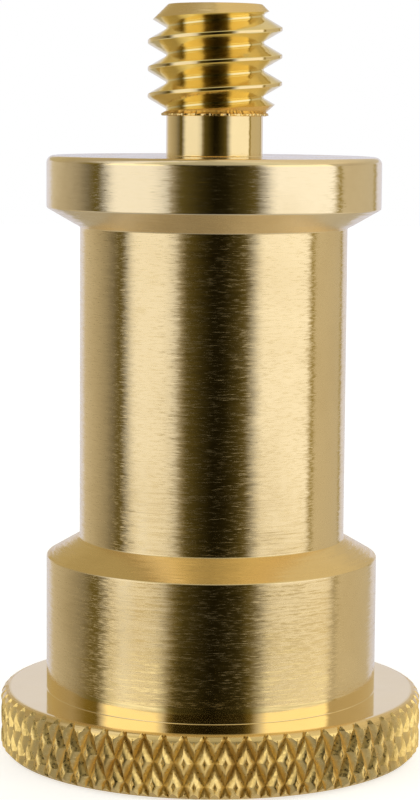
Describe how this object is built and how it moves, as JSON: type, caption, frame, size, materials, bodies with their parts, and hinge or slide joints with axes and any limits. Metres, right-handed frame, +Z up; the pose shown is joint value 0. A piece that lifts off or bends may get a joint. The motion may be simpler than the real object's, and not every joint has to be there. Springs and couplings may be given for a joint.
{
  "type": "adapter stud",
  "caption": "Turned brass light-stand stud with a knurled foot, a collar, a clamping waist, a head and a male camera thread above a relief neck.",
  "frame": {"origin": "centre of the foot's underside", "axes": "+Z up along the turning axis, from the knurled foot to the camera thread"},
  "size_m": [0.0202, 0.0202, 0.0356],
  "materials": {
    "brass": "turned, bright"
  },
  "bodies": {
    "root": {"adapter_stud": "brass"}
  },
  "joints": []
}
